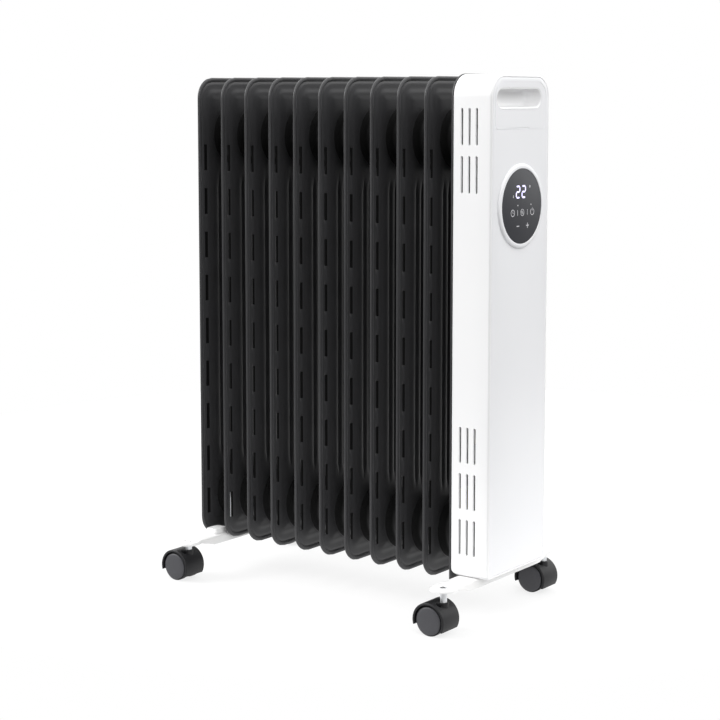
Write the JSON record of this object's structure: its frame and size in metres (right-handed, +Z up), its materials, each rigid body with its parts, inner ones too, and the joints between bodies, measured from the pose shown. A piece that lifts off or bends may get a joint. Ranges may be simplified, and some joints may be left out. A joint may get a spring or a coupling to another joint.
{
  "type": "oil filled radiator heater",
  "caption": "Tall oil filled radiator heater: black steel fins, white control box with touch panel and grip recess, feet on twin-wheel casters.",
  "frame": {"origin": "on the floor, under the middle of the whole object's box", "axes": "+Z up, +X along the row of fins towards the control box's end cover, -Y the front side that carries the vents seen first"},
  "size_m": [0.4552, 0.257, 0.64],
  "materials": {
    "black_enamel": "semi-gloss powder coat on pressed steel",
    "white_plastic": "satin moulded ABS",
    "white_enamel": "semi-gloss powder coat on stamped steel",
    "panel_glass": "smoked, glossy, back-printed",
    "circuit_board": "solder mask",
    "dark_plastic": "moulded",
    "heat_plastic": "moulded heat-proof plastic",
    "black_rubber": "moulded",
    "plain_steel": "bare",
    "zinc_plate": "bright zinc plate",
    "brass": "turned brass",
    "caster_nylon": "moulded, fine grain",
    "wheel_nylon": "moulded, fine grain"
  },
  "bodies": {
    "root": {"fin_01": "black_enamel", "fin_02": "black_enamel", "fin_03": "black_enamel", "fin_04": "black_enamel", "fin_05": "black_enamel", "fin_06": "black_enamel", "fin_07": "black_enamel", "fin_08": "black_enamel", "fin_09": "black_enamel", "fin_10": "black_enamel", "upper_header": "black_enamel", "lower_header": "black_enamel", "fill_plug": "plain_steel", "element_gasket": "black_rubber", "element_flange": "plain_steel", "heating_element": "plain_steel", "rear_shield": "black_enamel", "box_shell": "white_plastic", "end_cover": "white_plastic", "grip_cup": "white_plastic", "panel_bezel": "white_plastic", "touch_panel": "panel_glass", "display_board": "circuit_board", "display_module": "dark_plastic", "board_carrier": "heat_plastic", "power_board": "circuit_board", "relay": "dark_plastic", "terminal_block": "heat_plastic", "thermal_cutout": "plain_steel", "room_sensor": "brass", "tilt_bracket": "heat_plastic", "cord_gland": "black_rubber", "foot_near": "white_enamel", "foot_screw_front": "zinc_plate", "foot_screw_back": "zinc_plate", "foot_far": "white_enamel", "u_bolt": "zinc_plate", "wing_nut_front": "zinc_plate", "wing_nut_back": "zinc_plate", "stem_near_front": "zinc_plate", "stem_near_back": "zinc_plate", "stem_far_front": "zinc_plate", "stem_far_back": "zinc_plate"},
    "caster_near_front": {"hood_near_front": "caster_nylon", "axle_near_front": "zinc_plate"},
    "wheel_near_front_a": {"wheel_near_front_a": "wheel_nylon"},
    "wheel_near_front_b": {"wheel_near_front_b": "wheel_nylon"},
    "caster_near_back": {"hood_near_back": "caster_nylon", "axle_near_back": "zinc_plate"},
    "wheel_near_back_a": {"wheel_near_back_a": "wheel_nylon"},
    "wheel_near_back_b": {"wheel_near_back_b": "wheel_nylon"},
    "caster_far_front": {"hood_far_front": "caster_nylon", "axle_far_front": "zinc_plate"},
    "wheel_far_front_a": {"wheel_far_front_a": "wheel_nylon"},
    "wheel_far_front_b": {"wheel_far_front_b": "wheel_nylon"},
    "caster_far_back": {"hood_far_back": "caster_nylon", "axle_far_back": "zinc_plate"},
    "wheel_far_back_a": {"wheel_far_back_a": "wheel_nylon"},
    "wheel_far_back_b": {"wheel_far_back_b": "wheel_nylon"},
    "tilt_weight": {"tilt_pendulum": "brass"}
  },
  "joints": [
    {"name": "swivel_near_front", "type": "hinge", "parent": "root", "child": "caster_near_front", "pos_m": [0.19603, -0.1115, 0.018], "axis": [0, 0, 1], "continuous": true},
    {"name": "spin_near_front_a", "type": "hinge", "parent": "caster_near_front", "child": "wheel_near_front_a", "pos_m": [0.18553, -0.1233, 0.018], "axis": [0, 1, 0], "continuous": true},
    {"name": "spin_near_front_b", "type": "hinge", "parent": "caster_near_front", "child": "wheel_near_front_b", "pos_m": [0.18553, -0.0997, 0.018], "axis": [0, 1, 0], "continuous": true},
    {"name": "swivel_near_back", "type": "hinge", "parent": "root", "child": "caster_near_back", "pos_m": [0.19603, 0.1115, 0.018], "axis": [0, 0, 1], "continuous": true},
    {"name": "spin_near_back_a", "type": "hinge", "parent": "caster_near_back", "child": "wheel_near_back_a", "pos_m": [0.18553, 0.0997, 0.018], "axis": [0, 1, 0], "continuous": true},
    {"name": "spin_near_back_b", "type": "hinge", "parent": "caster_near_back", "child": "wheel_near_back_b", "pos_m": [0.18553, 0.1233, 0.018], "axis": [0, 1, 0], "continuous": true},
    {"name": "swivel_far_front", "type": "hinge", "parent": "root", "child": "caster_far_front", "pos_m": [-0.1955, -0.1115, 0.018], "axis": [0, 0, 1], "continuous": true},
    {"name": "spin_far_front_a", "type": "hinge", "parent": "caster_far_front", "child": "wheel_far_front_a", "pos_m": [-0.206, -0.1233, 0.018], "axis": [0, 1, 0], "continuous": true},
    {"name": "spin_far_front_b", "type": "hinge", "parent": "caster_far_front", "child": "wheel_far_front_b", "pos_m": [-0.206, -0.0997, 0.018], "axis": [0, 1, 0], "continuous": true},
    {"name": "swivel_far_back", "type": "hinge", "parent": "root", "child": "caster_far_back", "pos_m": [-0.1955, 0.1115, 0.018], "axis": [0, 0, 1], "continuous": true},
    {"name": "spin_far_back_a", "type": "hinge", "parent": "caster_far_back", "child": "wheel_far_back_a", "pos_m": [-0.206, 0.0997, 0.018], "axis": [0, 1, 0], "continuous": true},
    {"name": "spin_far_back_b", "type": "hinge", "parent": "caster_far_back", "child": "wheel_far_back_b", "pos_m": [-0.206, 0.1233, 0.018], "axis": [0, 1, 0], "continuous": true},
    {"name": "tilt_swing", "type": "hinge", "parent": "root", "child": "tilt_weight", "pos_m": [0.1814, -0.04, 0.151], "axis": [1, 0, 0], "range_deg": [-30, 30]}
  ]
}
